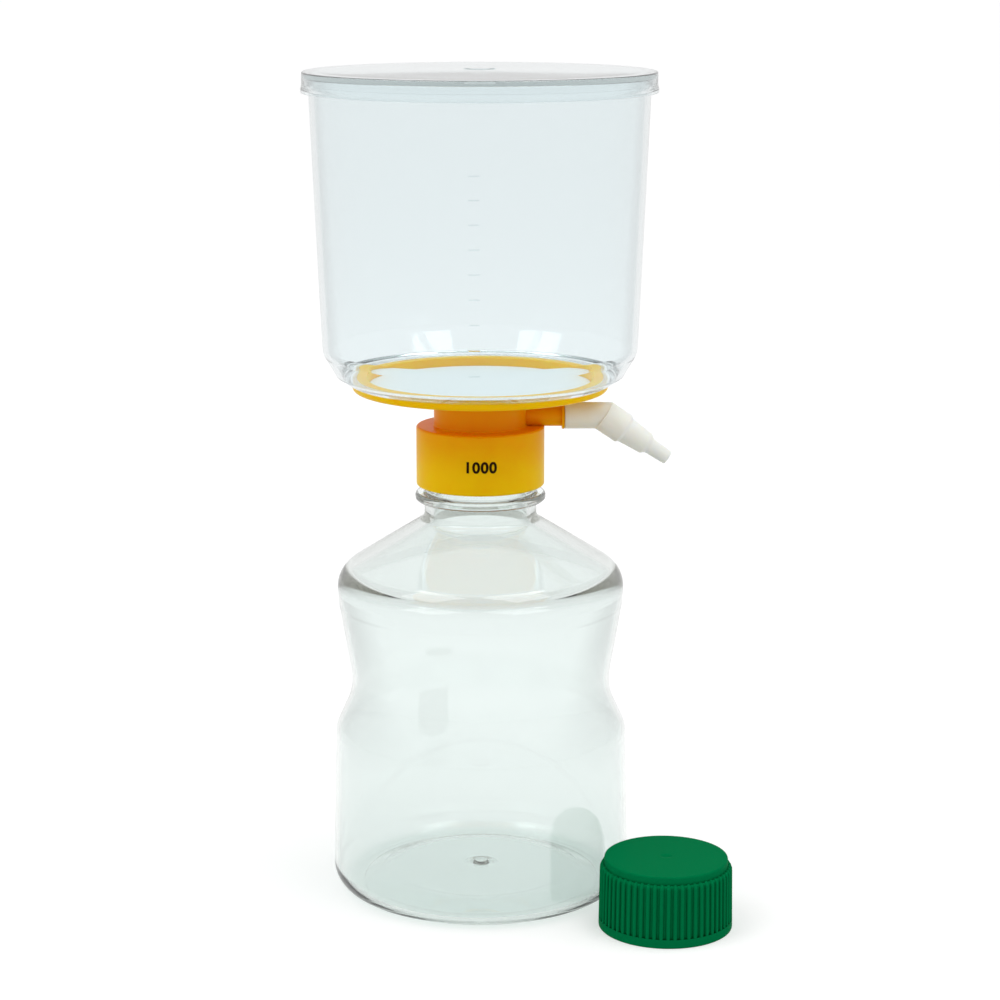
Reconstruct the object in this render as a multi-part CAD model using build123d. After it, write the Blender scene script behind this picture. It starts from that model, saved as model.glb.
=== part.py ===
from build123d import *
import os
from math import atan2, cos, degrees, hypot, radians, sin, tan

# Vacuum filtration unit for one litre: a clear funnel with its lid, a yellow filter base
# that screws on the neck of a clear receiver bottle, a white elbow for the vacuum hose and
# the green cap that closes the bottle once the filter has come off.
#
# Millimetres. The origin is on the bench under the middle of the bottle, +Z is up and the
# vacuum arm points along +X. A turned piece is a half-section of (radius, height, rounding)
# corners. Screw threads aren't cut; their clearances are.

# ---------------------------------------------------------------- all pieces
edge_rounding = 0.4  # of a moulded edge
root_rounding = 0.5  # where one moulded face rises from another
cut_margin = 1.0  # how far a cutting shape runs past the face that it opens
side_in_use = 0.98  # most of a side that the roundings at its two ends may take up

# ---------------------------------------------------------------- receiver bottle
foot_spread = 1.6  # of the foot past the body, but for the heel's rounding
foot_width = 12.25  # of the ring that the bottle stands on, with its roundings
base_dome_inset = 10.0  # from that ring to the edge of the dome
base_dome_drop = 1.2  # from the middle of the base to the edge of its dome
base_rise = 4.8  # of the middle of the base over the bench
base_dome_rounding = 20.0
body_radius = 56.65
waist_depth = 7.35  # radii given up from the body to the waist
grip_depth = 1.65  # and to the lower end of the bulge over it
bulge_depth = 0.75
neck_step = 0.7  # of the neck under the ring past the root of the thread
body_length = 64.4
lower_flank = 15.95  # heights gained from one corner of the side to the next
upper_flank = 33.6
bulge_length = 12.35
shoulder_rise = 21.7
neck_length = 31.3
heel_rounding = 8.9
body_top_rounding = 10.8
waist_rounding = 23.0
grip_rounding = 12.0
bulge_rounding = 11.2
neck_rounding = 3.4
foot_rounding = 3.0
base_wall = 2.2
body_wall = 1.6
shoulder_wall = 4.2
neck_wall = 2.8  # at the root of the thread
support_ring_reach = 2.7  # past the thread's crests
support_ring_thickness = 3.2
support_ring_drop = 21.6  # from the lip down to the top of the ring
support_ring_rounding = 1.2
thread_radius = 22.4  # over the thread's crests
thread_depth = 1.5
gate_nub_radius = 2.6
gate_nub_height = 0.9
gate_nub_draft = 0.6  # growth of the nub from its top to its foot
gate_dimple_radius = 7.0
gate_dimple_depth = 0.4
gate_dimple_rounding = 3.0

# ---------------------------------------------------------------- neck gasket
gasket_thickness = 1.7
gasket_inset = 0.2  # behind the thread's crests

# ---------------------------------------------------------------- filter base
collar_wall = 1.85
collar_height = 23.1
collar_plate = 2.5  # flat top of the collar
collar_clearance = 0.35  # round the crests of the bottle's thread, in the cap as well
collar_edge_rounding = 0.9
tube_radius = 17.8
tube_wall = 1.8
tube_height = 13.9  # from the collar's top to the dish
dish_radius = 48.8
dish_edge_rounding = 1.4
dish_under_inset = 3.3  # from the dish's edge to its flat underside
dish_under_rounding = 4.0
dish_keel = 1.5  # how far the underside falls from its rim to the tube
dish_keel_rounding = 1.0
dish_floor = 1.1  # floor at the rim of the grid
dish_fall = 1.1  # of the floor from the rim of the grid to the drain
ledge_height = 2.7  # from the underside to the seat of the funnel
ring_height = 2.7  # of the ring that the funnel is welded round
ledge_width = 1.6  # seat of the funnel round the ring
ring_width = 4.0
membrane_seat_width = 2.2  # between the ring and the rim of the grid
grid_pitch = 5.0
grid_rib_width = 1.1
grid_rib_height = 0.7  # at the rim; the ribs grow taller as the floor falls
grid_channels = 8
grid_channel_width = 2.6
drain_radius = 2.8
nozzle_radius = 4.6
nozzle_draft = 0.4  # growth of the nozzle from its tip to the dish
nozzle_reach = 9.0  # how far the drip nozzle hangs below the bottle's lip
arm_height = 3.6  # axis of the vacuum arm over the collar's top
arm_radius = 4.1
arm_length = 31.2
arm_flange_radius = 5.2
arm_flange = 1.0
nipple_tip_radius = 3.1
nipple_growth = 0.3  # of its radius from the tip to the flange
nipple_wall = 0.9  # at the tip
nipple_length = 13.5

# ---------------------------------------------------------------- membrane and port plug
membrane_thickness = 0.2
membrane_clearance = 0.2
plug_length = 8.0
plug_clearance = 0.05
plug_inset = 2.0  # behind the arm's flange
plug_rounding = 0.5

# ---------------------------------------------------------------- funnel
funnel_hub_overhang = 0.9  # past the edge of the dish
funnel_chine_step = 5.3  # radii gained from one corner of the side to the next
funnel_cone_step = 5.0
funnel_opening_step = 4.2
funnel_chine_rise = 3.4
funnel_cone_rise = 8.7
funnel_body_height = 103.3
funnel_wall = 2.0
funnel_corner_rounding = 7.5
funnel_chine_rounding = 1.9
funnel_floor_rounding = 1.0
funnel_rim_step = 0.75
funnel_rim_height = 2.8
weld_gap = 0.1

# ---------------------------------------------------------------- lid
lid_wall = 1.2
lid_bead_step = 0.45
lid_bead_height = 3.1  # from the edge of the skirt to the top of the bead's slope
lid_bead_crest = 1.2  # height of the bead's upright edge
lid_skirt_depth = 5.7  # below the funnel's rim
lid_plate = 2.1
lid_crown = 0.8
lid_crown_rounding = 8.0
lid_clearance = 0.3
lid_edge_rounding = 0.6
lid_gate_radius = 6.0
lid_gate_height = 0.3

# ---------------------------------------------------------------- hose adapter
sleeve_wall = 1.65
sleeve_length = 14.9  # from its mouth to the bend
sleeve_gap = 0.1
nipple_clearance = 0.05
socket_room = 0.5  # past the nipple's tip
elbow_drop = 33.9  # degrees below the arm's axis
lumen_radius = 1.6
land_step = 0.95  # of the one straight step, for the widest hose, past the sleeve
land_length = 9.2
step_fall = 1.2  # length of the cone between two steps
middle_radius = 5.2
middle_end_radius = 4.4
middle_length = 9.2
tip_fall = 1.6
tip_radius = 3.15
tip_end_radius = 2.75
tip_length = 8.7
step_rounding = 0.35

# ---------------------------------------------------------------- storage cap
cap_wall = 2.55  # with a rib, at the foot
cap_draft = 0.3  # of the ribs from the foot to where they start to bend in
cap_height = 27.2
cap_plate = 3.0
cap_disc_inset = 1.7  # behind the ribs
cap_disc_height = 2.6  # of the smooth disc over the tops of the ribs
cap_disc_rounding = 0.5
cap_ribs = 60
cap_rib_radius = 0.95
cap_rib_height = 0.75  # over the wall between two ribs
cap_rib_bend = 1.2  # radius in which a rib's middle bends in at its top
cap_first_gap = 1.5  # degrees from +X to the middle of a gap
cap_shoulder_drop = 0.5  # from the tops of the ribs to the wall's own shoulder
cap_shoulder_rounding = 0.8
cap_band_height = 3.5
cap_gate_radius = 2.3
cap_gate_floor_radius = 0.8
cap_gate_depth = 0.4
cap_plug_length = 3.0
cap_plug_wall = 1.3
cap_plug_clearance = 0.15
cap_bottle_gap = 2.53
cap_bearing = -35.74  # degrees from the vacuum arm, seen from above

# ---------------------------------------------------------------- radii that follow
foot_radius = body_radius + foot_spread
foot_inner_radius = foot_radius - foot_width
base_dome_radius = foot_inner_radius - base_dome_inset
waist_radius = body_radius - waist_depth
grip_radius = body_radius - grip_depth
bulge_radius = body_radius - bulge_depth
finish_radius = thread_radius - thread_depth
neck_radius = finish_radius + neck_step
neck_bore_radius = finish_radius - neck_wall
support_ring_radius = thread_radius + support_ring_reach
gasket_radius = thread_radius - gasket_inset
thread_bore_radius = thread_radius + collar_clearance
collar_radius = thread_bore_radius + collar_wall
dish_under_radius = dish_radius - dish_under_inset
ring_radius = dish_radius - ledge_width
ring_inner_radius = ring_radius - ring_width
grid_radius = ring_inner_radius - membrane_seat_width
nipple_radius = nipple_tip_radius + nipple_growth
arm_bore_radius = nipple_tip_radius - nipple_wall
funnel_hub_radius = dish_radius + funnel_hub_overhang
funnel_chine_radius = funnel_hub_radius + funnel_chine_step
funnel_body_radius = funnel_chine_radius + funnel_cone_step
funnel_top_radius = funnel_body_radius + funnel_opening_step
funnel_rim_radius = funnel_top_radius + funnel_rim_step
lid_radius = funnel_rim_radius + lid_clearance + lid_wall
lid_bead_radius = lid_radius + lid_bead_step
sleeve_radius = nipple_radius + nipple_clearance + sleeve_wall
land_radius = sleeve_radius + land_step
cap_radius = thread_bore_radius + cap_wall
cap_top_radius = cap_radius - cap_draft
cap_disc_radius = cap_top_radius - cap_disc_inset

# ---------------------------------------------------------------- heights that follow
body_top = body_length
waist_height = body_top + lower_flank
grip_height = waist_height + upper_flank
bulge_height = grip_height + bulge_length
neck_height = bulge_height + shoulder_rise
lip_height = neck_height + neck_length
support_ring_top = lip_height - support_ring_drop
plate_bottom = lip_height + gasket_thickness
collar_top = plate_bottom + collar_plate
collar_bottom = collar_top - collar_height
dish_bottom = collar_top + tube_height
ledge_top = dish_bottom + ledge_height
ring_top = ledge_top + ring_height
floor_rim_height = dish_bottom + dish_floor
seat_height = floor_rim_height + grid_rib_height
arm_axis_height = collar_top + arm_height
arm_end = arm_length + arm_flange
funnel_chine_height = ledge_top + funnel_chine_rise
funnel_body_bottom = funnel_chine_height + funnel_cone_rise
rim_height = funnel_body_bottom + funnel_body_height
rim_bottom = rim_height - funnel_rim_height
sleeve_mouth = arm_end + sleeve_gap
bend_x = sleeve_mouth + sleeve_length
cap_rib_top = cap_height - cap_disc_height


def fitted(corners):
    """The corners, with roundings cut down together where a side is too short for its two."""
    count = len(corners)
    reach = []
    for here in range(count):
        before, middle, after = corners[here - 1], corners[here], corners[(here + 1) % count]
        way_in = atan2(middle[1] - before[1], middle[0] - before[0])
        way_out = atan2(after[1] - middle[1], after[0] - middle[0])
        turn = abs((degrees(way_out - way_in) + 180) % 360 - 180)
        reach.append(middle[2] * tan(radians(turn / 2)))
    share = [1.0] * count
    for here in range(count):
        after = (here + 1) % count
        side = hypot(corners[after][0] - corners[here][0], corners[after][1] - corners[here][1])
        needed = reach[here] + reach[after]
        if needed > side_in_use * side:
            for end in (here, after):
                share[end] = min(share[end], side_in_use * side / needed)
    return [(r, z, rounding * part) for (r, z, rounding), part in zip(corners, share)]


def turned(corners):
    """Turn a closed half-section once round the Z axis."""
    corners = fitted(corners)
    points = [(r, 0, z) for r, z, _ in corners]
    outline = FilletPolyline(*points, radius=[corner[2] for corner in corners], close=True)
    return revolve(make_face(outline), Axis.Z)


def inset(corners, walls):
    """Inner corners of a wall: side i of the open outline moves left by walls[i].

    Neighbouring sides meet anew. The first one is cut at the axis, the last at its own end.
    A rounding shrinks by the wall on an outer corner and grows by it on an inner one.
    """
    sides = []
    for (r0, z0, _), (r1, z1, _), wall in zip(corners, corners[1:], walls):
        length = hypot(r1 - r0, z1 - z0)
        dr, dz = (r1 - r0) / length, (z1 - z0) / length
        sides.append((r0 - dz * wall, z0 + dr * wall, dr, dz))
    r0, z0, dr, dz = sides[0]
    inner = [(0, z0 - r0 * dz / dr, 0)]
    for near, far, corner, wall in zip(sides, sides[1:], corners[1:], walls[1:]):
        turn = near[2] * far[3] - near[3] * far[2]
        along = ((far[0] - near[0]) * far[3] - (far[1] - near[1]) * far[2]) / turn
        kept = max(corner[2] - wall, edge_rounding) if turn > 0 else corner[2] + wall
        inner.append((near[0] + along * near[2], near[1] + along * near[3], kept))
    r0, z0, dr, dz = sides[-1]
    last = corners[-1][1]
    inner.append((r0 + (last - z0) * dr / dz, last, 0))
    return inner


def bottle_side():
    """Outside of the bottle from the middle of its base to the lip, with a plain neck."""
    return [
        (0, base_rise, 0),
        (base_dome_radius, base_rise - base_dome_drop, base_dome_rounding),
        (foot_inner_radius, 0, foot_rounding),
        (foot_radius, 0, heel_rounding),
        (body_radius, body_top, body_top_rounding),
        (waist_radius, waist_height, waist_rounding),
        (grip_radius, grip_height, grip_rounding),
        (bulge_radius, bulge_height, bulge_rounding),
        (neck_radius, neck_height, neck_rounding),
        (neck_radius, lip_height, 0),
    ]


def bottle_finish():
    """Support ring and the smooth root of the screw neck, from the neck up to the lip."""
    ring_bottom = support_ring_top - support_ring_thickness
    return [
        (neck_radius, ring_bottom, root_rounding),
        (support_ring_radius, ring_bottom, support_ring_rounding),
        (support_ring_radius, support_ring_top, support_ring_rounding),
        (finish_radius, support_ring_top, root_rounding),
        (finish_radius, lip_height, edge_rounding),
    ]


def receiver_bottle():
    """Clear bottle blown with a pushed-up base, a grip waist and a thick neck."""
    side = bottle_side()
    walls = [base_wall] * 3 + [body_wall] * 4 + [shoulder_wall, neck_radius - neck_bore_radius]
    inside = inset(side, walls)
    floor = inside[0][1]
    dimple_drop = gate_dimple_radius * base_dome_drop / base_dome_radius
    gate = [
        (0, floor + gate_nub_height, 0),
        (gate_nub_radius, floor + gate_nub_height, edge_rounding),
        (gate_nub_radius + gate_nub_draft, floor - gate_dimple_depth, root_rounding),
        (gate_dimple_radius, floor - dimple_drop, gate_dimple_rounding),
    ]
    inner = gate + inside[1:-1] + [(neck_bore_radius, lip_height, edge_rounding)]
    return turned(side[:-1] + bottle_finish() + inner[::-1])


def neck_gasket():
    """Soft ring between the bottle's lip and the collar's plate."""
    return turned([
        (neck_bore_radius, lip_height, 0),
        (gasket_radius, lip_height, 0),
        (gasket_radius, plate_bottom, 0),
        (neck_bore_radius, plate_bottom, 0),
    ])


def floor_height(radius):
    """Top of the dish's floor, which falls evenly from the rim of the grid to the drain."""
    return floor_rim_height - dish_fall * (grid_radius - radius) / (grid_radius - drain_radius)


def filter_base_body():
    """Screw collar, vacuum chamber, drip nozzle and dish in one half-section."""
    bore = thread_bore_radius
    chamber_radius = tube_radius - tube_wall
    keel = dish_bottom - dish_keel
    return turned([
        (drain_radius, lip_height - nozzle_reach, 0),
        (nozzle_radius, lip_height - nozzle_reach, edge_rounding),
        (nozzle_radius + nozzle_draft, keel, 0),
        (chamber_radius, keel, 0),
        (chamber_radius, plate_bottom, 0),
        (bore, plate_bottom, 0),
        (bore, collar_bottom, 0),
        (collar_radius, collar_bottom, collar_edge_rounding),
        (collar_radius, collar_top, collar_edge_rounding),
        (tube_radius, collar_top, root_rounding),
        (tube_radius, keel, dish_keel_rounding),
        (dish_under_radius, dish_bottom, dish_under_rounding),
        (dish_radius, dish_bottom, dish_edge_rounding),
        (dish_radius, ledge_top, 0),
        (ring_radius, ledge_top, 0),
        (ring_radius, ring_top, 0),
        (ring_inner_radius, ring_top, edge_rounding),
        (ring_inner_radius, seat_height, 0),
        (grid_radius, seat_height, 0),
        (grid_radius, floor_height(grid_radius), 0),
        (drain_radius, floor_height(drain_radius), root_rounding),
    ])


def support_grid():
    """Rings under the membrane, cut by straight channels that lead to the drain."""
    rings = []
    radius = grid_radius - grid_pitch
    while radius > drain_radius + grid_rib_width:
        inner, outer = radius - grid_rib_width / 2, radius + grid_rib_width / 2
        root = floor_height(inner) - dish_floor / 4
        rings.append(turned([
            (inner, root, 0),
            (outer, root, 0),
            (outer, seat_height, 0),
            (inner, seat_height, 0),
        ]))
        radius -= grid_pitch
    channel = Pos(grid_radius / 2, 0, seat_height) * Box(
        grid_radius, grid_channel_width, 2 * (seat_height - dish_bottom)
    )
    turns = [Rot(0, 0, 360 * n / grid_channels) for n in range(grid_channels)]
    return Part() + rings - [turn * channel for turn in turns]


def along_arm(corners):
    """Turn a half-section of (radius, distance) round the axis of the vacuum arm."""
    axis = Plane(origin=(0, 0, arm_axis_height), z_dir=(1, 0, 0))
    return axis * turned(corners)


def vacuum_arm():
    """Arm with its stop flange and the tapered nipple that the adapter is pushed on."""
    root = tube_radius - tube_wall / 2
    return along_arm([
        (0, root, 0),
        (arm_radius, root, 0),
        (arm_radius, arm_length, edge_rounding),
        (arm_flange_radius, arm_length, 0),
        (arm_flange_radius, arm_end, 0),
        (nipple_radius, arm_end, 0),
        (nipple_tip_radius, arm_end + nipple_length, edge_rounding),
        (0, arm_end + nipple_length, 0),
    ])


def filter_base():
    """Yellow moulding in one piece: dish with its grid, neck tube, vacuum arm and collar."""
    start = (nozzle_radius + tube_radius - tube_wall) / 2
    end = arm_end + nipple_length + cut_margin
    bore = along_arm([
        (0, start, 0),
        (arm_bore_radius, start, 0),
        (arm_bore_radius, end, 0),
        (0, end, 0),
    ])
    return filter_base_body() + support_grid() + vacuum_arm() - bore


def membrane():
    """White filter disc, lying on the grid and sealed round its edge."""
    radius = ring_inner_radius - membrane_clearance
    return Pos(0, 0, seat_height) * Cylinder(
        radius, membrane_thickness, align=(Align.CENTER, Align.CENTER, Align.MIN)
    )


def port_plug():
    """Cotton plug that keeps the vacuum line from reaching the filtrate."""
    end = arm_length - plug_inset
    radius = arm_bore_radius - plug_clearance
    return along_arm([
        (0, end - plug_length, 0),
        (radius, end - plug_length, plug_rounding),
        (radius, end, plug_rounding),
        (0, end, 0),
    ])


def funnel():
    """Clear funnel: a welded hub, a chamfered chine and a tall side that opens slightly."""
    slope = (funnel_body_radius - funnel_chine_radius) / funnel_cone_rise
    side_slope = (funnel_top_radius - funnel_body_radius) / funnel_body_height
    wall_across = funnel_wall * hypot(1, slope)
    drop = funnel_chine_height - ring_top
    floor_radius = funnel_chine_radius - wall_across - drop * slope
    inner_body_radius = funnel_body_radius - funnel_wall
    meet = (inner_body_radius - floor_radius) / slope
    hub_inner = ring_radius + weld_gap
    rim_neck_radius = funnel_top_radius - funnel_rim_height * side_slope
    return turned([
        (hub_inner, ledge_top, 0),
        (funnel_hub_radius, ledge_top, edge_rounding),
        (funnel_chine_radius, funnel_chine_height, funnel_chine_rounding),
        (funnel_body_radius, funnel_body_bottom, funnel_corner_rounding),
        (rim_neck_radius, rim_bottom, 0),
        (funnel_rim_radius, rim_bottom, 0),
        (funnel_rim_radius, rim_height, edge_rounding),
        (funnel_top_radius - funnel_wall, rim_height, edge_rounding),
        (inner_body_radius, ring_top + meet, funnel_corner_rounding - funnel_wall),
        (floor_radius, ring_top, funnel_floor_rounding),
        (hub_inner, ring_top, 0),
    ])


def lid():
    """Clear lid that rests on the funnel's rim, with a beaded skirt and a crowned plate."""
    skirt_bottom = rim_height - lid_skirt_depth
    plate_top = rim_height + lid_plate
    inner = funnel_rim_radius + lid_clearance
    seat = funnel_rim_radius - 2 * funnel_wall
    return turned([
        (0, rim_height + lid_crown, 0),
        (seat, rim_height, 0),
        (inner, rim_height, 0),
        (inner, skirt_bottom, 0),
        (lid_bead_radius, skirt_bottom, edge_rounding),
        (lid_bead_radius, skirt_bottom + lid_bead_crest, edge_rounding),
        (lid_radius, skirt_bottom + lid_bead_height, 0),
        (lid_radius, plate_top, lid_edge_rounding),
        (seat, plate_top, lid_crown_rounding),
        (lid_gate_radius, plate_top + lid_crown, 0),
        (lid_gate_radius, plate_top + lid_crown + lid_gate_height, 0),
        (0, plate_top + lid_crown + lid_gate_height, 0),
    ])


def hose_steps():
    """Three steps of the hose tail, each smaller than the one before, turned round Z."""
    first = land_length
    second = first + step_fall
    third = second + middle_length
    fourth = third + tip_fall
    end = fourth + tip_length
    return turned([
        (0, 0, 0),
        (land_radius, 0, 0),
        (land_radius, first, step_rounding),
        (middle_radius, second, 0),
        (middle_end_radius, third, step_rounding),
        (tip_radius, fourth, 0),
        (tip_end_radius, end, step_rounding),
        (0, end, 0),
    ])


def hose_adapter():
    """White elbow: a sleeve over the nipple and a stepped tail that points down and out."""
    drop = radians(elbow_drop)
    bend = Plane(origin=(bend_x, 0, arm_axis_height), z_dir=(cos(drop), 0, -sin(drop)))
    overrun = bend_x + 2 * sleeve_radius
    sleeve = along_arm([
        (0, sleeve_mouth, 0),
        (sleeve_radius, sleeve_mouth, edge_rounding),
        (sleeve_radius, overrun, 0),
        (0, overrun, 0),
    ])
    sleeve = split(sleeve, bisect_by=bend, keep=Keep.BOTTOM)
    tail_length = land_length + step_fall + middle_length + tip_fall + tip_length
    taper = (nipple_radius - nipple_tip_radius) / nipple_length
    socket_end = sleeve_mouth + nipple_length + socket_room
    mouth_bore = nipple_radius + nipple_clearance - sleeve_gap * taper
    end_bore = nipple_tip_radius + nipple_clearance - (socket_room + sleeve_gap) * taper
    socket = along_arm([
        (0, sleeve_mouth - cut_margin, 0),
        (mouth_bore + cut_margin * taper, sleeve_mouth - cut_margin, 0),
        (end_bore, socket_end, 0),
        (0, socket_end, 0),
    ])
    elbow = along_arm([
        (0, sleeve_mouth, 0),
        (lumen_radius, sleeve_mouth, 0),
        (lumen_radius, bend_x, 0),
        (0, bend_x, 0),
    ])
    ball = Pos(bend_x, 0, arm_axis_height) * Sphere(lumen_radius)
    lumen = bend * Cylinder(
        lumen_radius, tail_length + cut_margin, align=(Align.CENTER, Align.CENTER, Align.MIN)
    )
    return sleeve + bend * hose_steps() - socket - elbow - ball - lumen


def cap_shell():
    """Storage cap without its ribs: a cup with a seal ring, standing mouth down."""
    bore = thread_bore_radius
    ceiling = cap_height - cap_plate
    plug_radius = neck_bore_radius - cap_plug_clearance
    shoulder = cap_rib_top - cap_shoulder_drop
    gate_floor = cap_height - cap_gate_depth
    return turned([
        (bore, 0, 0),
        (cap_radius, 0, edge_rounding),
        (cap_radius, cap_band_height, 0),
        (cap_radius - cap_rib_height, cap_band_height, 0),
        (cap_top_radius - cap_rib_height, shoulder, cap_shoulder_rounding),
        (cap_disc_radius, shoulder, 0),
        (cap_disc_radius, cap_height, cap_disc_rounding),
        (cap_gate_radius, cap_height, edge_rounding),
        (cap_gate_floor_radius, gate_floor, edge_rounding),
        (0, gate_floor, 0),
        (0, ceiling, 0),
        (plug_radius - cap_plug_wall, ceiling, 0),
        (plug_radius - cap_plug_wall, ceiling - cap_plug_length, 0),
        (plug_radius, ceiling - cap_plug_length, edge_rounding),
        (plug_radius, ceiling, 0),
        (bore, ceiling, 0),
    ])


def cap_rib():
    """One grip rib on +X: a round bar up the wall whose top bends in towards the disc."""
    bend_height = cap_rib_top - cap_rib_bend - cap_rib_radius
    run = bend_height - cap_band_height
    draft = degrees(atan2(cap_radius - cap_top_radius, run))
    bar = Cylinder(
        cap_rib_radius, run + cut_margin, align=(Align.CENTER, Align.CENTER, Align.MAX)
    )
    bend = revolve(
        Pos(cap_rib_bend, 0, 0) * Circle(cap_rib_radius), Axis((0, 0, 0), (0, -1, 0)), 90
    )
    rib = Pos(cap_rib_bend, 0, 0) * bar + bend
    middle = cap_top_radius - cap_rib_radius - cap_rib_bend
    return Pos(middle, 0, bend_height) * Rot(0, -draft, 0) * rib


def storage_cap():
    """Green screw cap with round ribs over a plain band, standing beside the bottle."""
    rib = cap_rib()
    step = 360 / cap_ribs
    turns = [Rot(0, 0, cap_first_gap + step * (n + 0.5)) for n in range(cap_ribs)]
    cap = cap_shell() + [turn * rib for turn in turns]
    bearing = radians(cap_bearing)
    away = foot_radius + cap_bottle_gap + cap_radius
    return Pos(away * cos(bearing), away * sin(bearing), 0) * cap


def main():
    """Build every piece and write each to a file of its own name."""
    os.makedirs("parts", exist_ok=True)
    pieces = {
        "receiver_bottle": receiver_bottle(),
        "neck_gasket": neck_gasket(),
        "filter_base": filter_base(),
        "membrane": membrane(),
        "port_plug": port_plug(),
        "funnel": funnel(),
        "lid": lid(),
        "hose_adapter": hose_adapter(),
        "storage_cap": storage_cap(),
    }
    for name, piece in pieces.items():
        export_step(piece, f"parts/{name}.step")
        print(name, round(piece.volume), "mm3")


main()
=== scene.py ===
# %% [markdown]
# # A vacuum filtration unit, lit as on a laboratory maker's white table
# Liquid is poured into the clear funnel on top, a vacuum at the white elbow draws it through
# the white membrane, and it drips into the clear bottle. The green cap closes the bottle
# afterwards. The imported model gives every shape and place, in metres, with the bench at z = 0.
# This lesson adds what a CAD solid lacks: clean turned surfaces for the clear pieces, the
# thread of the neck, small moulded and printed marks, and a finish for each material.

# %% the frame
import math

import bmesh
import bpy
import numpy as np
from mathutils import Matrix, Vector


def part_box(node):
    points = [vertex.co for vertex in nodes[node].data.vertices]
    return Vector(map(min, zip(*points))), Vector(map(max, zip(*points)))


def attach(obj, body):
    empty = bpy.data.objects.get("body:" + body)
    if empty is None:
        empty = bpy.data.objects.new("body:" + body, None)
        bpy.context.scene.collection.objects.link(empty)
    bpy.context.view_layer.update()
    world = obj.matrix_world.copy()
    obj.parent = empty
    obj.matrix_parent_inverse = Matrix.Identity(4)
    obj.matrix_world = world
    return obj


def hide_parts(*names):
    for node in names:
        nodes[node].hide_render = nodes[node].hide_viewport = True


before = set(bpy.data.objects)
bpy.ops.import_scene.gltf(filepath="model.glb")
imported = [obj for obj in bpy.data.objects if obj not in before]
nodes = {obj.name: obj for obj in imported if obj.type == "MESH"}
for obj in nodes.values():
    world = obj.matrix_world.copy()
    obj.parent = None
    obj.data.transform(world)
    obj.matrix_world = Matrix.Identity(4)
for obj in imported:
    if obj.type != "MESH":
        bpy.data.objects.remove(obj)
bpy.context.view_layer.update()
millimetre = 0.001
print("packed nodes:", sorted(nodes))

# %% [markdown]
# ## The camera
# A long lens a metre away keeps the walls nearly upright. It looks down by twelve degrees, so
# the lid shows as a flat ellipse and the membrane can be seen through the funnel. Making the
# camera first means that every later step can be checked through it.

# %% the camera
eye_distance = 0.991
eye_height = 0.3707
look_down = math.radians(12.34)
look_aside = math.radians(0.436)
film_width = 36.0  # millimetres, the usual full frame
lens_length = 94.68

camera = bpy.data.objects.new("camera", bpy.data.cameras.new("camera"))
camera.location = (0.0, -eye_distance, eye_height)
camera.rotation_euler = (math.radians(90) - look_down, 0.0, -look_aside)
camera.data.sensor_width = film_width
camera.data.lens = lens_length
camera.data.clip_start = 0.01
camera.data.clip_end = 100.0
bpy.context.collection.objects.link(camera)
bpy.context.scene.camera = camera
bpy.context.scene.view_settings.view_transform = "Standard"
print("the eye is", round(camera.location.length, 3), "m from the foot of the bottle")

# %% [markdown]
# ## Three small helpers
# Hex colours are what a colour picker shows, but a shader reckons with light, so one function
# turns sRGB into linear values. Another adds a node, sets its inputs and links it in one call,
# which keeps each material below to a few lines. The third starts a material without nodes.

# %% colour and nodes
def linear(hex_colour):
    """Each channel c of an sRGB hex colour, as ((c + 0.055) / 1.055) to the power 2.4."""
    shown = np.array([int(hex_colour[i : i + 2], 16) for i in (0, 2, 4)]) / 255
    light = np.where(shown <= 0.04045, shown / 12.92, ((shown + 0.055) / 1.055) ** 2.4)
    return (*light.tolist(), 1.0)


def add(tree, kind, links=None, **settings):
    """Adds a node. settings are its properties or the values of its inputs, links its sources."""
    node = tree.nodes.new(kind)
    for name, value in settings.items():
        if name in node.bl_rna.properties:
            setattr(node, name, value)
        else:
            node.inputs[name.replace("_", " ")].default_value = value
    for name, source in (links or {}).items():
        tree.links.new(source, node.inputs[name])
    return node


def new_material(name):
    """An empty material and its tree."""
    material = bpy.data.materials.new(name)
    material.use_nodes = True
    material.node_tree.nodes.clear()
    return material, material.node_tree


print("one half of the light reads as hex BC:", round(linear("BCBCBC")[0], 2))

# %% [markdown]
# ## Grey cards for the edges
# Clear plastic shows nothing but what stands round it. In an all-white room its edges vanish,
# so a studio puts grey cards just outside the picture. The outermost few millimetres of a
# turned clear wall bend light by twenty degrees and more, and find the cards there, and the
# middle of the wall still looks straight through at white. Eight narrow cards stand half-way
# between the eight main directions, so this holds for each of them. They are drawn in the
# floor and in the room alike, for the light that glass and mirrors send out and no other.
# A round wall mirrors the whole circle of cards with each of its faces, which would stripe it
# from side to side, so light that was mirrored on its way finds their average instead.

# %% grey cards
card_grey = 0.65  # 1 is white
cards = 8
card_edge = 0.1  # the cosine at which a card begins
mirrored_share = 0.33  # the average of a card's share over the circle


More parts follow.
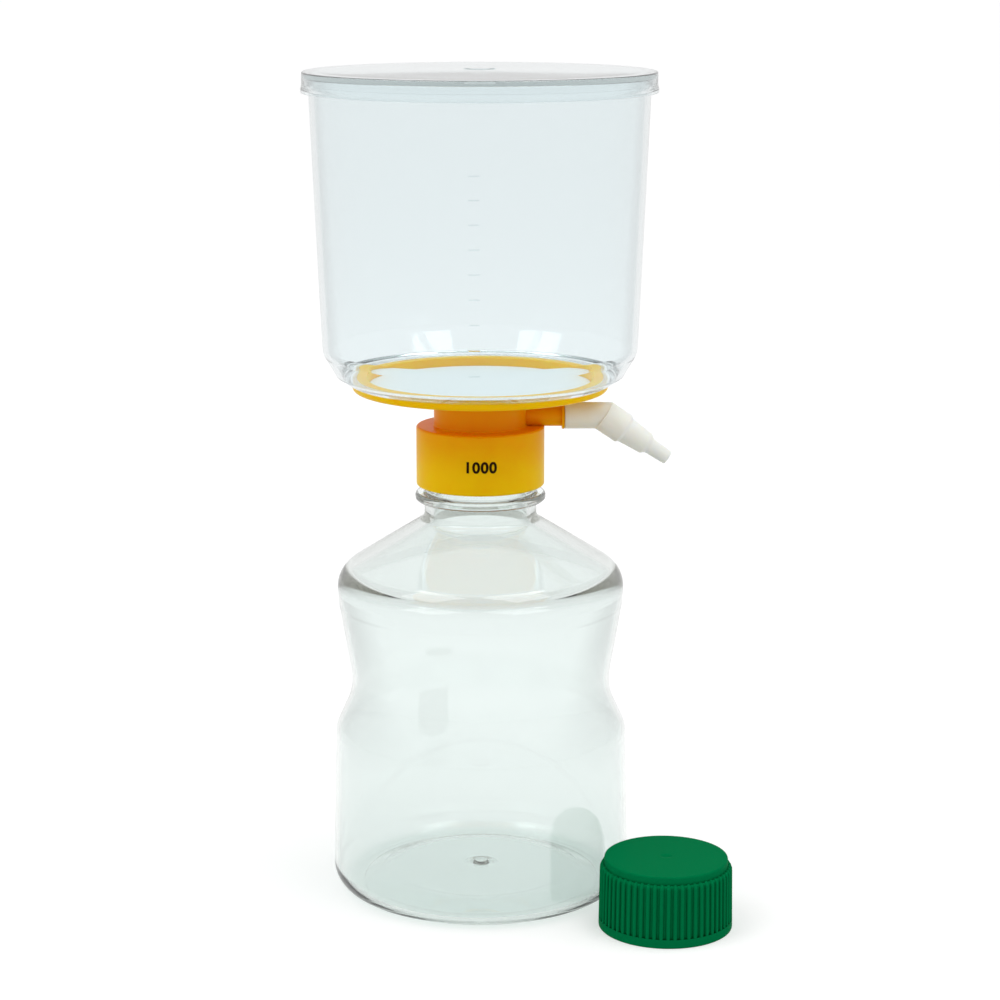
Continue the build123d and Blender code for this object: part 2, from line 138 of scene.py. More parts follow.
def card_share(tree, place, rays):
    """How far a direction or a place on the floor lies in a card. The cosine of eight times
    its bearing is 1 in the main directions and -1 in the middle of a card. The share rises
    evenly from 0 at a cosine of 0.1 to 1 at -1, so the cards take half of the circle and
    their sides are soft. Mirrored light gets the same share everywhere."""
    parts = add(tree, "ShaderNodeSeparateXYZ", {0: place})
    bearing = add(tree, "ShaderNodeMath", {0: parts.outputs["Y"], 1: parts.outputs["X"]},
                  operation="ARCTAN2")
    repeated = add(tree, "ShaderNodeMath", {0: bearing.outputs[0]}, operation="MULTIPLY")
    repeated.inputs[1].default_value = cards
    wave = add(tree, "ShaderNodeMath", {0: repeated.outputs[0]}, operation="COSINE")
    share = add(tree, "ShaderNodeMapRange", {"Value": wave.outputs[0]}, From_Min=card_edge, From_Max=-1.0)
    mirrored = add(tree, "ShaderNodeMapRange", {"Value": rays.outputs["Glossy Depth"]})
    evened = add(tree, "ShaderNodeMix", {0: mirrored.outputs["Result"], 2: share.outputs["Result"]})
    evened.inputs[3].default_value = mirrored_share
    return evened.outputs[0]


def glass_or_mirror(tree, rays):
    """1 for the light that clear walls let through or any gloss throws back, else 0."""
    either = add(tree, "ShaderNodeMath", {0: rays.outputs["Is Transmission Ray"],
                                          1: rays.outputs["Is Glossy Ray"]}, operation="MAXIMUM")
    return either.outputs[0]


print("one card every", 360 / cards, "degrees")

# %% [markdown]
# ## The table
# The floor is matt and pale grey, and eyes, mirrors and glass see it with as much white light
# added as makes it white where the lamps reach it: more in the distance, which the lamps don't
# light. So the object stands on white and still throws a soft shadow, and the grey that
# the object itself sees keeps its sides from being lit from below as strongly as from above.

# %% the floor
floor_reach = 20.0
floor_grey = "DADADA"
near_glow = 0.37
far_glow = 0.56
far_reach = 1.2  # metres from the middle, as the next two
cards_start = 0.14
cards_full = 0.35

floor_material, tree = new_material("matt_table")
rays = add(tree, "ShaderNodeLightPath")
glassy = glass_or_mirror(tree, rays)
seen = add(tree, "ShaderNodeMath", {0: glassy, 1: rays.outputs["Is Camera Ray"]}, operation="MAXIMUM")
spot = add(tree, "ShaderNodeTexCoord")
distance = add(tree, "ShaderNodeVectorMath", {0: spot.outputs["Object"]}, operation="LENGTH")
needed = add(tree, "ShaderNodeMapRange", {"Value": distance.outputs["Value"]},
             From_Max=far_reach, To_Min=near_glow, To_Max=far_glow)
glow = add(tree, "ShaderNodeMath", {0: seen.outputs[0], 1: needed.outputs["Result"]},
           operation="MULTIPLY")
paper = add(tree, "ShaderNodeBsdfDiffuse", Color=linear(floor_grey))
white = add(tree, "ShaderNodeEmission", {"Strength": glow.outputs[0]})
table = add(tree, "ShaderNodeAddShader", {0: paper.outputs[0], 1: white.outputs[0]})
past_object = add(tree, "ShaderNodeMapRange", {"Value": distance.outputs["Value"]},
                  From_Min=cards_start, From_Max=cards_full)
carded = add(tree, "ShaderNodeMath", {0: card_share(tree, spot.outputs["Object"], rays), 1: glassy},
             operation="MULTIPLY")
carded = add(tree, "ShaderNodeMath", {0: carded.outputs[0], 1: past_object.outputs["Result"]},
             operation="MULTIPLY")
card = add(tree, "ShaderNodeEmission", Strength=card_grey)
both = add(tree, "ShaderNodeMixShader", {0: carded.outputs[0], 1: table.outputs[0], 2: card.outputs[0]})
add(tree, "ShaderNodeOutputMaterial", {"Surface": both.outputs[0]})

corners = [(-floor_reach, -floor_reach, 0.0), (floor_reach, -floor_reach, 0.0),
           (floor_reach, floor_reach, 0.0), (-floor_reach, floor_reach, 0.0)]
floor_mesh = bpy.data.meshes.new("floor")
floor_mesh.from_pydata(corners, [], [(0, 1, 2, 3)])
floor_mesh.materials.append(floor_material)
floor = bpy.data.objects.new("floor", floor_mesh)
bpy.context.collection.objects.link(floor)
print("the floor is", 2 * floor_reach, "m across")

# %% [markdown]
# ## The room and its lamps
# The eye, glass and mirrors see a white room, with the grey cards for the last two. The cards
# stand on the table and end a little over the horizon, so the lid and the bottle's shoulder,
# which mirror what is higher up, stay white. What lights the matt surfaces is a little dimmer
# overhead, where the lamps are, than round the sides, and strongest from the left and the
# right, where a studio has its reflectors. Two softboxes give the bright patches in the
# curved walls, and a long one overhead lies in the front of the bottle's shoulder.

# %% the room
ceiling_light = 0.5  # 1 is white
horizon_light = 0.9
front_share = 0.62  # times the light at that height, towards the front and the back
side_share = 1.55
plain_white = (1.0, 1.0, 1.0, 1.0)
card_top_starts = 0.02  # the sine of the elevation
card_top_ends = 0.14

world = bpy.data.worlds.new("studio")
bpy.context.scene.world = world
world.use_nodes = True
tree = world.node_tree
tree.nodes.clear()
rays = add(tree, "ShaderNodeLightPath")
glassy = glass_or_mirror(tree, rays)
direction = add(tree, "ShaderNodeTexCoord")
parts = add(tree, "ShaderNodeSeparateXYZ", {0: direction.outputs["Generated"]})
by_height = add(tree, "ShaderNodeMapRange", {"Value": parts.outputs["Z"]},
                To_Min=horizon_light, To_Max=ceiling_light)
sideways = add(tree, "ShaderNodeMath", {0: parts.outputs["X"]}, operation="ABSOLUTE")
by_side = add(tree, "ShaderNodeMapRange", {"Value": sideways.outputs[0]},
              To_Min=front_share, To_Max=side_share)
fill = add(tree, "ShaderNodeMath", {0: by_height.outputs["Result"], 1: by_side.outputs["Result"]},
           operation="MULTIPLY")
room = add(tree, "ShaderNodeBackground", {"Strength": fill.outputs[0]}, Color=plain_white)
white = add(tree, "ShaderNodeBackground", Color=plain_white, Strength=1.0)
card = add(tree, "ShaderNodeBackground", Color=plain_white, Strength=card_grey)
low_down = add(tree, "ShaderNodeMapRange", {"Value": parts.outputs["Z"]},
               From_Min=card_top_starts, From_Max=card_top_ends, To_Min=1.0, To_Max=0.0)
carded = add(tree, "ShaderNodeMath", {0: card_share(tree, direction.outputs["Generated"], rays),
                                      1: low_down.outputs["Result"]}, operation="MULTIPLY")
walls = add(tree, "ShaderNodeMixShader", {0: carded.outputs[0], 1: white.outputs[0], 2: card.outputs[0]})
lit = add(tree, "ShaderNodeMixShader", {0: glassy, 1: room.outputs[0], 2: walls.outputs[0]})
both = add(tree, "ShaderNodeMixShader", {0: rays.outputs["Is Camera Ray"], 1: lit.outputs[0],
                                         2: white.outputs[0]})
add(tree, "ShaderNodeOutputWorld", {"Surface": both.outputs[0]})
print("the room lights with", front_share * horizon_light, "in front and",
      round(side_share * horizon_light, 2), "at the sides, and shows as 1")

# %% [markdown]
# ## Softboxes
# A softbox is a cloth-fronted box with a lamp inside. An area light is the same thing: it gives
# soft shadows and shows as a bright rectangle in whatever is glossy. The patch in the right of
# the funnel is the left softbox, because the funnel's back wall is a hollow mirror.

# %% the lamps
def softbox(name, place, aim, width, depth, radiance):
    """A rectangular lamp. Its power is radiance times area times pi, so that a mirror would
    show it that many times as bright as white paper."""
    light = bpy.data.lights.new(name, "AREA")
    light.shape = "RECTANGLE"
    light.size = width
    light.size_y = depth
    light.energy = radiance * width * depth * math.pi
    lamp = bpy.data.objects.new(name, light)
    lamp.location = place
    lamp.rotation_euler = (Vector(aim) - Vector(place)).to_track_quat("-Z", "Y").to_euler()
    bpy.context.collection.objects.link(lamp)
    print(name, "gives", round(light.energy, 1), "W")


lit_point = (0.0, 0.0, 0.15)
softbox("left_softbox", (-0.59, -0.3, 1.2), lit_point, 0.62, 0.7, 2.4)
softbox("right_softbox", (0.42, -0.3, 1.2), lit_point, 0.6, 0.7, 2.4)
softbox("overhead_softbox", (0.0, 0.15, 1.3), lit_point, 1.2, 0.18, 3.5)

# %% [markdown]
# ## Light inside clear walls
# A ray that enters a clear rim or a thick shoulder is mirrored many times before it finds a
# way out. If the renderer gives it up early, that place turns black, so the number of times it
# may be mirrored or bent is raised.

# %% how often light may turn
paths = bpy.context.scene.cycles
paths.max_bounces = 32
paths.glossy_bounces = 24
paths.transmission_bounces = 32
paths.transparent_max_bounces = 32
print("light may turn", paths.max_bounces, "times")

# %% [markdown]
# ## Turned surfaces
# Funnel, lid and bottle are moulded round an axis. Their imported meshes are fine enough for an
# opaque piece, but glass shows every facet twice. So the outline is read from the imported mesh
# and turned again in even steps, as a potter's rib would cut it. The outline lies where the
# solid's seam is, in the half-plane y = 0, x > 0, which keeps one source for every size.

# %% reading an outline
grain = 1e-6  # metres within which two points of the seam are the same


def outline(name):
    """The (radius, height) points of a turned node's outline, in order, without a repeat. A
    flat face over the axis has no seam, so an open end is carried on to the axis."""
    mesh = nodes[name].data
    points = np.empty(3 * len(mesh.vertices), np.float32)
    mesh.vertices.foreach_get("co", points)
    points = points.reshape(-1, 3).astype(float)
    edges = np.empty(2 * len(mesh.edges), np.int32)
    mesh.edges.foreach_get("vertices", edges)
    edges = edges.reshape(-1, 2)
    on_seam = (abs(points[:, 1]) < 2 * grain) & (points[:, 0] > -grain)
    runs = points[edges[on_seam[edges].all(axis=1)]][:, :, [0, 2]]
    places, ends = np.unique(np.rint(runs.reshape(-1, 2) / grain), axis=0, return_inverse=True)
    neighbours = [set() for place in places]
    for here, there in ends.reshape(-1, 2).tolist():
        if here != there:
            neighbours[here].add(there)
            neighbours[there].add(here)
    open_ends = [i for i, others in enumerate(neighbours) if len(others) == 1]
    chain = [open_ends[0] if open_ends else 0]
    left = neighbours[chain[0]]
    while left:
        chain.append(min(left))
        left = neighbours[chain[-1]] - set(chain)
    line = places[chain] * grain
    if open_ends and line[-1, 0] > grain:
        line = np.vstack([line, (0.0, line[-1, 1])])
    if open_ends and line[0, 0] > grain:
        line = np.vstack([(0.0, line[0, 1]), line])
    radius, height = line.T
    ahead, above = np.roll(line, -1, axis=0).T
    turns_left = (radius * above - ahead * height).sum() > 0
    return line if turns_left else line[::-1]


outlines = {name: outline(name) for name in ("receiver_bottle", "funnel", "lid")}
print({name: len(line) for name, line in outlines.items()})

# %% [markdown]
# ## Turning the outline
# Screw or Spin modifiers could turn a line too, but a grid worked out at once gives the say
# over the columns and lets a wall swell, as the bottle's thread needs. Points that fall
# together on the axis are merged, which closes the poles. Edges over thirty degrees stay
# sharp, and weighted normals keep the flat faces flat.

# %% turning an outline
seat_gap = 0.04 * millimetre
soft_edge = math.radians(30)
flat_faces_first = 100  # the modifier's strongest say for large flat faces


def turned(name, line, columns, swell=None):
    """P(u, v) = (r cos u, r sin u, z) with r = radius(v) + swell(u, r, z) and z = height(v).
    The rows run round the outline and the columns round the axis, and both close."""
    low, high = line[:, 1].min(), line[:, 1].max()
    radius = line[:, :1]
    height = np.clip(line[:, 1:], low + seat_gap, high - seat_gap)
    angle = np.arange(columns)[None, :] * 2 * math.pi / columns
    if swell is not None:
        radius = radius + swell(angle, radius, height)
    grid = np.stack(np.broadcast_arrays(radius * np.cos(angle), radius * np.sin(angle), height), axis=-1)
    rows = len(line)
    closed = line[0, 0] > grain or line[-1, 0] > grain
    row, column = np.meshgrid(np.arange(rows if closed else rows - 1), np.arange(columns), indexing="ij")
    row_on, column_on = (row + 1) % rows, (column + 1) % columns
    corners = [row * columns + column, row * columns + column_on,
               row_on * columns + column_on, row_on * columns + column]
    faces = np.stack(corners, axis=-1).reshape(-1, 4)
    mesh = bpy.data.meshes.new(name)
    mesh.from_pydata(grid.reshape(-1, 3).tolist(), [], faces.tolist())
    work = bmesh.new()
    work.from_mesh(mesh)
    bmesh.ops.remove_doubles(work, verts=work.verts, dist=grain)
    bmesh.ops.dissolve_degenerate(work, dist=grain, edges=work.edges)
    work.to_mesh(mesh)
    work.free()
    mesh.shade_smooth()
    mesh.set_sharp_from_angle(angle=soft_edge)
    piece = bpy.data.objects.new(name, mesh)
    bpy.context.collection.objects.link(piece)
    even = piece.modifiers.new("even_shading", "WEIGHTED_NORMAL")
    even.keep_sharp = True
    even.weight = flat_faces_first
    print(name, "has", len(mesh.polygons), "faces")
    return piece


# %% [markdown]
# ## The funnel and its lid
# Both are clear polystyrene from a polished mould, so their turned outlines need nothing more.
# The faces that rest on a neighbour are drawn four hundredths of a millimetre short. Two clear
# faces in the very same place have no air between them for light to cross, and a renderer
# then guesses which comes first and paints it grey.

# %% the funnel and its lid
funnel_columns = 360
bottle_columns = 300

funnel = turned("clear_funnel_wall", outlines["funnel"], funnel_columns)
lid = turned("clear_lid_wall", outlines["lid"], funnel_columns)
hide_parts("funnel")
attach(funnel, "filter_head")
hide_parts("lid")
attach(lid, "lid")

# %% [markdown]
# ## The bottle and the thread of its neck
# The bottle is blown, but its neck is moulded with the thread on it, two turns of a
# right-handed 4 mm pitch that the collar and the green cap screw down on. The thread is part
# of the wall, so it is made as a swelling of the turned surface: the distance from the middle
# line of the helix decides how far the neck stands out, and it dies away at both ends.

# %% the bottle
thread_pitch = 4.0 * millimetre
thread_rise = 1.5 * millimetre
thread_half_crest = 0.5 * millimetre
thread_flank = 0.8 * millimetre
thread_first = 4.2 * millimetre  # from the end of the neck's straight wall to the first turn
thread_last = 3.0 * millimetre
thread_row = 0.25 * millimetre
neck_is_above = 150 * millimetre  # no other upright wall of the bottle is

bottle_line = outlines["receiver_bottle"]
runs = np.diff(bottle_line, axis=0)
upright = (abs(runs[:, 0]) < grain) & (bottle_line[:-1, 1] > neck_is_above) & (runs[:, 1] > 0)
neck_run = np.flatnonzero(upright)[np.argmax(runs[upright, 1])]
neck_radius = bottle_line[neck_run, 0]
neck_low, neck_high = bottle_line[neck_run : neck_run + 2, 1]
neck_rows = np.arange(neck_low + thread_row, neck_high - thread_row / 2, thread_row)
neck_wall = np.column_stack([np.full(len(neck_rows), neck_radius), neck_rows])
bottle_line = np.insert(bottle_line, neck_run + 1, neck_wall, axis=0)


def smooth(share):
    """A step from 0 to 1 with level ends."""
    share = np.clip(share, 0.0, 1.0)
    return share * share * (3 - 2 * share)


def neck_thread(angle, radius, height):
    """The nearest turn's middle line is at z = first + pitch (k + u / 2 pi), for a whole k.
    The wall stands out by the thread's rise within half a crest of it, and falls to
    nothing over the flank."""
    first, last = neck_low + thread_first, neck_high - thread_last
    turn = angle / (2 * math.pi)
    nearest = np.rint((height - first) / thread_pitch - turn)
    middle = first + thread_pitch * (nearest + turn)
    away = abs(height - middle)
    crest = smooth((thread_half_crest + thread_flank - away) / thread_flank)
    fade = thread_pitch / 8
    within = smooth((middle - first) / fade) * smooth((last - middle) / fade)
    on_neck = (abs(radius - neck_radius) < grain) & (height >= neck_low) & (height <= neck_high)
    return thread_rise * crest * within * on_neck


bottle = turned("clear_bottle_wall", bottle_line, bottle_columns, swell=neck_thread)
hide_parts("receiver_bottle")
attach(bottle, "receiver")
print("the thread stands", thread_rise / millimetre, "mm out of a neck of radius", round(neck_radius, 4))

# %% [markdown]
# ## Strokes for the volume
# A funnel of this kind has short raised strokes, one for each hundred millilitres above the
# membrane, so that the user sees how much is left. Their heights come from the funnel itself:
# the area inside its wall, summed upwards, gives the volume below each height. Each stroke is
# a thin bent plate, moulded a tenth of a millimetre proud of the wall.

# %% the strokes
stroke_volume = 1e-4  # cubic metres, a hundred millilitres
stroke_count = 9
stroke_width = 4.0 * millimetre
stroke_height = 0.4 * millimetre
stroke_proud = 0.12 * millimetre
stroke_sunk = 0.2  # of stroke_proud that a stroke reaches into the wall
stroke_bearing = math.radians(-92)
stroke_bends = 8
slice_height = 0.1 * millimetre  # for summing up the volume
slice_margin = 2 * millimetre  # over the membrane and under the rim


def crossings(line, height):
    """The smallest and largest radius at which an outline crosses each height."""
    start, end = line, np.roll(line, -1, axis=0)
    rise = end[:, 1] - start[:, 1]
    share = (height[:, None] - start[:, 1]) / np.where(abs(rise) < grain, np.inf, rise)
    radius = start[:, 0] + share * (end[:, 0] - start[:, 0])
    crossed = (share >= 0) & (share <= 1) & (abs(rise) > grain)
    smallest = np.where(crossed, radius, np.inf).min(axis=1)
    largest = np.where(crossed, radius, -np.inf).max(axis=1)
    return smallest, largest


membrane_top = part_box("membrane")[1].z
rim = outlines["funnel"][:, 1].max()
levels = np.arange(membrane_top + slice_margin, rim - slice_margin, slice_height)
inner, outer = crossings(outlines["funnel"], levels)
volumes = np.cumsum(math.pi * inner**2) * (levels[1] - levels[0])
wanted = stroke_volume * np.arange(1, stroke_count + 1)
middles = np.interp(wanted, volumes, levels)


def stroke_plates(middles):
    """Each plate is the product of three ranges: bearing u about the stroke's own, height z
    about its middle, and radius r from just inside the wall to just outside it. The points
    (r cos u, r sin u, z) come in rings of four, one ring for each bearing, and the faces join
    ring to ring and close the first and the last."""
    wall = np.interp(middles, levels, outer)[:, None, None, None]
    slope = np.gradient(outer, levels).mean()
    rings = stroke_bends + 1
    u = np.linspace(-0.5, 0.5, rings)[None, :, None, None] * stroke_width / wall
    z = np.array([-0.5, 0.5])[None, None, :, None] * stroke_height
    r = wall + z * slope + np.array([-stroke_sunk, 1.0]) * stroke_proud
    height = middles[:, None, None, None] + z
    u, height, r = np.broadcast_arrays(u + stroke_bearing, height, r)
    points = np.stack([r * np.cos(u), r * np.sin(u), height], axis=-1).reshape(-1, 3)
    plate = np.arange(len(middles))[:, None] * 4 * rings
    ring = (plate + np.arange(stroke_bends) * 4).reshape(-1, 1)
    sides = ring[:, :, None] + np.array([[1, 5, 7, 3], [0, 2, 6, 4], [2, 3, 7, 6], [0, 4, 5, 1]])
    last = plate + 4 * stroke_bends
    faces = np.vstack([sides.reshape(-1, 4), plate + [0, 1, 3, 2], last + [0, 2, 3, 1]])
    return points, faces


stroke_points, stroke_faces = stroke_plates(middles)
mesh = bpy.data.meshes.new("volume_strokes")
mesh.from_pydata(stroke_points.tolist(), [], stroke_faces.tolist())
strokes = bpy.data.objects.new("volume_strokes", mesh)
bpy.context.collection.objects.link(strokes)
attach(strokes, "filter_head")
print("strokes at", (middles / millimetre).round(1).tolist(), "mm over the bench")

# %% [markdown]
# ## A plain number on the collar
# The collar carries a small print in dark ink. Here it is only the number of millilitres that
# the unit takes. Digits come from Blender's own font as a flat curve. They are made a mesh, cut
# into upright strips so that they can bend, and laid round the collar: x becomes a bearing.

# %% the printed number
number_shown = "1000"  # millilitres
digit_height = 4.0 * millimetre
digit_middle = 171.6 * millimetre
digit_share = 0.69  # of the font's size that a digit is high
digit_spacing = 1.1
stem_growth = 0.2 * millimetre  # makes thin letters bold
ink = 0.03 * millimetre
strip = 0.5 * millimetre
collar_part = 15 * millimetre  # from the collar's lower edge, less than its height

base_points = np.array([v.co for v in nodes["filter_base"].data.vertices])
low_down = base_points[:, 2] < base_points[:, 2].min() + collar_part
collar_radius = np.hypot(*base_points[low_down, :2].T).max()

digits = bpy.data.curves.new("number_curve", "FONT")
digits.body = number_shown
digits.size = digit_height / digit_share
digits.align_x = "CENTER"
digits.offset = stem_growth
digits.extrude = ink
digits.space_character = digit_spacing
flat = bpy.data.objects.new("number_curve", digits)
bpy.context.collection.objects.link(flat)
mesh = bpy.data.meshes.new_from_object(flat)
bpy.data.objects.remove(flat)
work = bmesh.new()
work.from_mesh(mesh)
half = max(abs(v.co.x) for v in work.verts)
for cut in np.arange(-half + strip, half, strip):
    everything = [*work.verts, *work.edges, *work.faces]
    bmesh.ops.bisect_plane(work, geom=everything, plane_co=(cut, 0, 0), plane_no=(1, 0, 0), dist=grain)
work.to_mesh(mesh)
work.free()
points = np.empty(3 * len(mesh.vertices), np.float32)
mesh.vertices.foreach_get("co", points)
across, up, out = points.reshape(-1, 3).T
bearing = across / collar_radius
radius = collar_radius + out
height = digit_middle + up - digit_height / 2
laid = np.stack([radius * np.sin(bearing), -radius * np.cos(bearing), height], axis=-1)
mesh.vertices.foreach_set("co", laid.ravel().astype(np.float32))
mesh.update()
mesh.name = "printed_number"
number = bpy.data.objects.new("printed_number", mesh)
bpy.context.collection.objects.link(number)
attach(number, "filter_head")
print("the number is", round(2 * half / millimetre, 1), "mm wide on a collar of", round(collar_radius, 4))

# %% [markdown]
# ## Clear plastic
# Polystyrene and the bottle's polyester are clear and hard, with a mould's polish. Three things
# make them plastic and not air: the index of refraction, which bends the far edge; a faint
# tint that adds up along a wall seen from its side; and a slow waviness of the surface, about
# a finger wide. Lamps see through them, or the pieces inside would stand in a shadow that
# thin clear walls don't throw.

# %% clear plastic
def clear_plastic(name, tint, index, wave_width, wave_height, absorbed, depth_of_tint):
    """A clear wall: a tint at each face, a tint for the way inside, and a wavy polish."""
    material, tree = new_material(name)
    place = add(tree, "ShaderNodeTexCoord")
    waves = add(tree, "ShaderNodeTexNoise", {"Vector": place.outputs["Object"]},
                Scale=1.0 / wave_width, Detail=1.0, Roughness=0.4)
    bump = add(tree, "ShaderNodeBump", {"Height": waves.outputs["Fac"]}, Strength=1.0, Distance=wave_height)
    wall = add(tree, "ShaderNodeBsdfPrincipled", {"Normal": bump.outputs["Normal"]},
               Base_Color=linear(tint), Roughness=0.015, IOR=index, Transmission_Weight=1.0)
    open_air = add(tree, "ShaderNodeBsdfTransparent", Color=linear(tint))
    rays = add(tree, "ShaderNodeLightPath")
    light = add(tree, "ShaderNodeMath", {0: rays.outputs["Is Shadow Ray"],
                                         1: rays.outputs["Is Diffuse Ray"]}, operation="MAXIMUM")
    both = add(tree, "ShaderNodeMixShader", {0: light.outputs[0], 1: wall.outputs[0], 2: open_air.outputs[0]})
    inside = add(tree, "ShaderNodeVolumeAbsorption", Color=linear(absorbed), Density=depth_of_tint)
    add(tree, "ShaderNodeOutputMaterial", {"Surface": both.outputs[0], "Volume": inside.outputs[0]})
    return material


def paint(piece, material):
    """The piece's only material."""
    piece.data.materials.clear()
    piece.data.materials.append(material)


def set_ramp(ramp, first, *others):
    """Gives a colour ramp its stops, each a position and a hex colour, from left to right."""
    stops = ramp.color_ramp.elements
    last = others[-1]
    stops[0].position, stops[0].color = first[0], linear(first[1])
    stops[1].position, stops[1].color = last[0], linear(last[1])
    for position, colour in others[:-1]:
        stops.new(position).color = linear(colour)


polystyrene = clear_plastic("clear_polystyrene_moulded", tint="F1F6F7", index=1.59, wave_width=0.030,
                            wave_height=0.01 * millimetre, absorbed="DCE2E2", depth_of_tint=16.0)
polyester = clear_plastic("clear_polyester_blown", tint="F2F7F6", index=1.57, wave_width=0.022,
                          wave_height=0.015 * millimetre, absorbed="E0E0DC", depth_of_tint=45.0)
for piece in (funnel, lid, strokes):
    paint(piece, polystyrene)
paint(bottle, polyester)
print("clear:", polystyrene.name, "and", polyester.name)

# %% [markdown]
# ## The yellow base
# Moulded polypropylene coloured all through. Thin walls let some light in, and what comes back
# out has lost its green, so the shaded neck turns orange while the dish stays yellow. Scatter
# under the surface gives a part of that, with red going several times as far as green. The
# rest is painted shade: the Ambient Occlusion node tells how much of the sky a place sees,
# and where the dish and the collar shut it in, the colour is painted over to orange. Only the
# base itself counts, because the clear pieces round it take no light away. Inside the dish the
# colour is painted yellow from a height upwards, a painted light for what the funnel and the
# membrane throw into it.

# %% yellow plastic
# the reach of the painted shade, and the heights over which the painted light inside the dish comes in
painted_shade_reach = 30 * millimetre
painted_light_dish_from = membrane_top - 9 * millimetre
painted_light_dish_full = membrane_top - 5 * millimetre
flow_marks = 9 * millimetre
mould_grain = 0.35 * millimetre
bump_height = 0.02 * millimetre

yellow, tree = new_material("yellow_polypropylene_moulded")
place = add(tree, "ShaderNodeTexCoord")
blotch = add(tree, "ShaderNodeTexNoise", {"Vector": place.outputs["Object"]},
             Scale=1 / flow_marks, Detail=2.0)
# painted shade: this share paints the colour orange where the base's own surfaces shut out the sky
painted_shade_sky_share = add(tree, "ShaderNodeAmbientOcclusion", Distance=painted_shade_reach, samples=8, only_local=True)
mottled = add(tree, "ShaderNodeMapRange", {"Value": blotch.outputs["Fac"]}, To_Min=-0.06, To_Max=0.06)
level = add(tree, "ShaderNodeSeparateXYZ", {0: place.outputs["Object"]})
# painted light: inside the dish, from these heights up, the colour is painted fully yellow
painted_light_in_dish = add(tree, "ShaderNodeMapRange", {"Value": level.outputs["Z"]},
              From_Min=painted_light_dish_from, From_Max=painted_light_dish_full)
painted_light_and_mottle = add(tree, "ShaderNodeMath", {0: painted_shade_sky_share.outputs["AO"], 1: painted_light_in_dish.outputs["Result"]},
                operation="MAXIMUM")
painted_light_and_mottle = add(tree, "ShaderNodeMath", {0: painted_light_and_mottle.outputs[0], 1: mottled.outputs["Result"]},
                operation="ADD")
# the ramp paints shaded places orange and lit places yellow; the flow marks move it a little
colour = add(tree, "ShaderNodeValToRGB", {"Fac": painted_light_and_mottle.outputs[0]})
set_ramp(colour, (0.2, "F29200"), (0.85, "F4A800"), (1.0, "F8C400"))
grain_of_mould = add(tree, "ShaderNodeTexNoise", {"Vector": place.outputs["Object"]},
                     Scale=1 / mould_grain, Detail=2.0)
bump = add(tree, "ShaderNodeBump", {"Height": grain_of_mould.outputs["Fac"]},
           Strength=0.25, Distance=bump_height)
polish = add(tree, "ShaderNodeMapRange", {"Value": blotch.outputs["Fac"]}, To_Min=0.28, To_Max=0.36)
plastic = add(tree, "ShaderNodeBsdfPrincipled",
              {"Base Color": colour.outputs["Color"], "Roughness": polish.outputs["Result"],
               "Normal": bump.outputs["Normal"]},
              IOR=1.49, Specular_IOR_Level=0.06, Subsurface_Weight=0.5, Subsurface_Scale=0.003,
              Subsurface_Radius=(1.0, 0.22, 0.03))
add(tree, "ShaderNodeOutputMaterial", {"Surface": plastic.outputs[0]})
paint(nodes["filter_base"], yellow)
print("orange where the sky is shut out within", painted_shade_reach, "m, yellow above", round(painted_light_dish_full, 4))

# %% [markdown]
# ## Matt finishes
# Membrane, gasket, cotton and ink are matt, each with its own grain. The cast membrane is
# chalky, silicone rubber has a dull sheen, cotton wadding is rough and printing ink dries
# nearly flat. One function serves them, with the grain's real width as an argument.

# %% plain finishes
matt_index = 1.5


def matt_finish(name, colour, roughness, grain_size, grain_height, **more):
    """A plastic, rubber or fibre with a fine grain in its surface, grain_size metres wide."""
    material, tree = new_material(name)
    place = add(tree, "ShaderNodeTexCoord")
    noise = add(tree, "ShaderNodeTexNoise", {"Vector": place.outputs["Object"]},
                Scale=1.0 / grain_size, Detail=3.0)
    bump = add(tree, "ShaderNodeBump", {"Height": noise.outputs["Fac"]},
               Strength=0.5, Distance=grain_height)
    skin = add(tree, "ShaderNodeBsdfPrincipled", {"Normal": bump.outputs["Normal"]},
               Base_Color=linear(colour), Roughness=roughness, IOR=matt_index, **more)
    add(tree, "ShaderNodeOutputMaterial", {"Surface": skin.outputs[0]})
    return material


membrane_skin = matt_finish("white_membrane_cast", "F4F6F6", roughness=0.85,
                            grain_size=1.2 * millimetre, grain_height=0.02 * millimetre)
rubber = matt_finish("silicone_rubber", "F0F0EC", roughness=0.55,
                     grain_size=0.8 * millimetre, grain_height=0.01 * millimetre)
print_ink = matt_finish("printing_ink_dark", "260C02", roughness=0.6,
                        grain_size=0.3 * millimetre, grain_height=0.005 * millimetre,
                        Specular_IOR_Level=0.05)
cotton = matt_finish("cotton_wadding", "F0F0EC", roughness=0.95,
                     grain_size=0.4 * millimetre, grain_height=0.1 * millimetre)
paint(nodes["membrane"], membrane_skin)
paint(nodes["neck_gasket"], rubber)
paint(number, print_ink)
paint(nodes["port_plug"], cotton)
print("matt:", membrane_skin.name, rubber.name, print_ink.name, cotton.name)

# %% [markdown]
# ## The white elbow
# Uncoloured polypropylene is milky: light goes some millimetres in and comes out warmer. Over
# the base's yellow nipple it takes on that yellow, and this light is painted: a ramp along x
# paints the sleeve warm, because the elbow turns about the x axis and so the warm end stays in
# its place.

# %% milky plastic
sleeve_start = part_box("hose_adapter")[0].x
sleeve_length = 16 * millimetre
cloud_size = 1.2 * millimetre

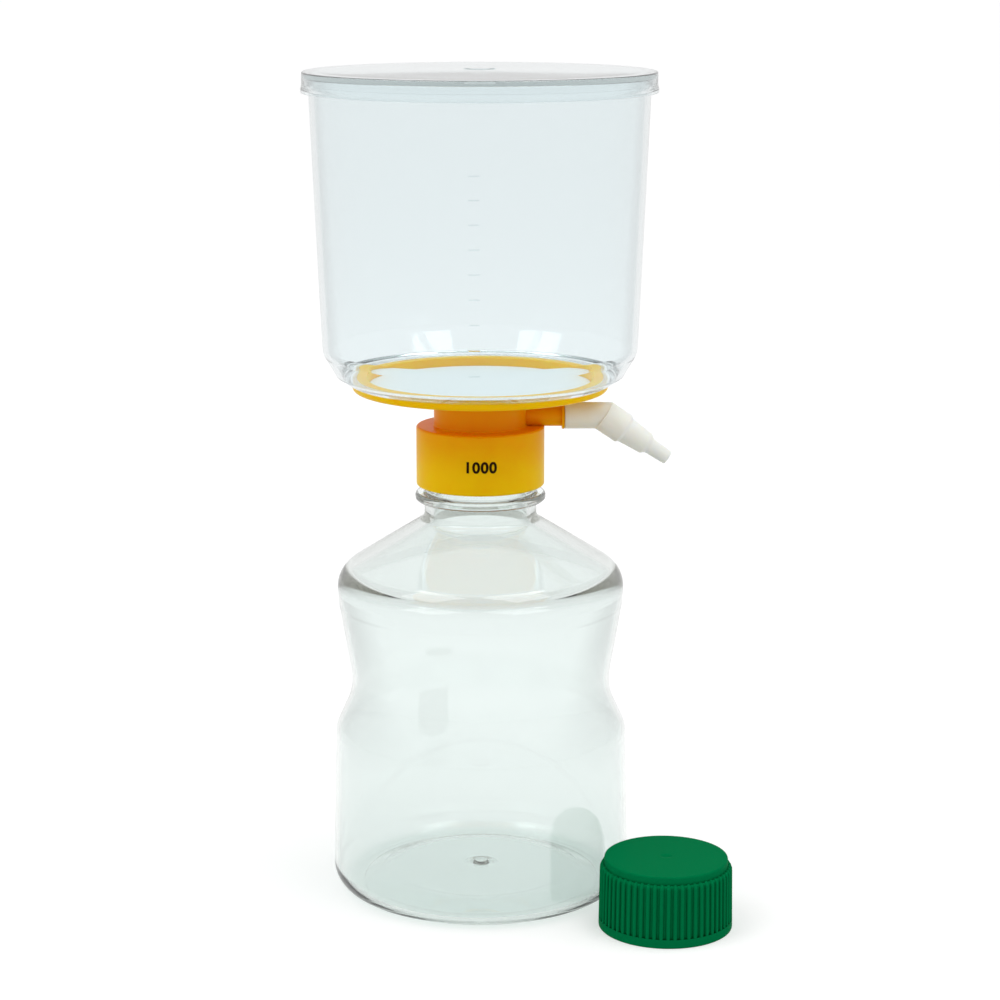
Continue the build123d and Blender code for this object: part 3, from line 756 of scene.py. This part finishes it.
milky, tree = new_material("natural_polypropylene_moulded")
place = add(tree, "ShaderNodeTexCoord")
along = add(tree, "ShaderNodeSeparateXYZ", {0: place.outputs["Object"]})
# painted light: the sleeve is painted warm for the yellow light that the nipple sends through it
reach = add(tree, "ShaderNodeMapRange", {"Value": along.outputs["X"]},
            From_Min=sleeve_start, From_Max=sleeve_start + sleeve_length)
colour = add(tree, "ShaderNodeValToRGB", {"Fac": reach.outputs["Result"]})
set_ramp(colour, (0.55, "FFF8E6"), (1.0, "FFFFF4"))
cloud = add(tree, "ShaderNodeTexNoise", {"Vector": place.outputs["Object"]},
            Scale=1 / cloud_size, Detail=3.0)
bump = add(tree, "ShaderNodeBump", {"Height": cloud.outputs["Fac"]}, Strength=0.4, Distance=bump_height)
skin = add(tree, "ShaderNodeBsdfPrincipled",
           {"Base Color": colour.outputs["Color"], "Normal": bump.outputs["Normal"]},
           Roughness=0.38, IOR=1.49, Subsurface_Weight=0.4, Subsurface_Scale=0.003,
           Subsurface_Radius=(1.0, 0.85, 0.6), Transmission_Weight=0.12)
add(tree, "ShaderNodeOutputMaterial", {"Surface": skin.outputs[0]})
paint(nodes["hose_adapter"], milky)
print("the elbow is warm up to x =", round(sleeve_start + sleeve_length, 4))

# %% [markdown]
# ## The green cap
# Moulded polyethylene, coloured so deeply that hardly any gloss shows. Light that falls between
# two ribs meets green plastic several times before it leaves, and each time loses more of what
# isn't green. That is painted shade here: the Ambient Occlusion node finds those narrow places,
# and the colour is painted a darker, deeper green there.

# %% green plastic
rib_gap = 2.0 * millimetre
haze_size = 0.5 * millimetre

green, tree = new_material("green_polyethylene_moulded")
place = add(tree, "ShaderNodeTexCoord")
# painted shade: the colour goes to a darker green where the cap's own ribs shut out the sky
painted_shade_between_ribs = add(tree, "ShaderNodeAmbientOcclusion", Distance=rib_gap, samples=8, only_local=True)
colour = add(tree, "ShaderNodeValToRGB", {"Fac": painted_shade_between_ribs.outputs["AO"]})
set_ramp(colour, (0.25, "003710"), (0.95, "007242"))
haze = add(tree, "ShaderNodeTexNoise", {"Vector": place.outputs["Object"]},
           Scale=1 / haze_size, Detail=3.0)
bump = add(tree, "ShaderNodeBump", {"Height": haze.outputs["Fac"]}, Strength=0.4, Distance=bump_height)
skin = add(tree, "ShaderNodeBsdfPrincipled",
           {"Base Color": colour.outputs["Color"], "Normal": bump.outputs["Normal"]},
           Roughness=0.45, IOR=1.51, Specular_IOR_Level=0.002)
add(tree, "ShaderNodeOutputMaterial", {"Surface": skin.outputs[0]})
paint(nodes["storage_cap"], green)
print("the cap's ribs are", rib_gap, "m apart and shade each other")
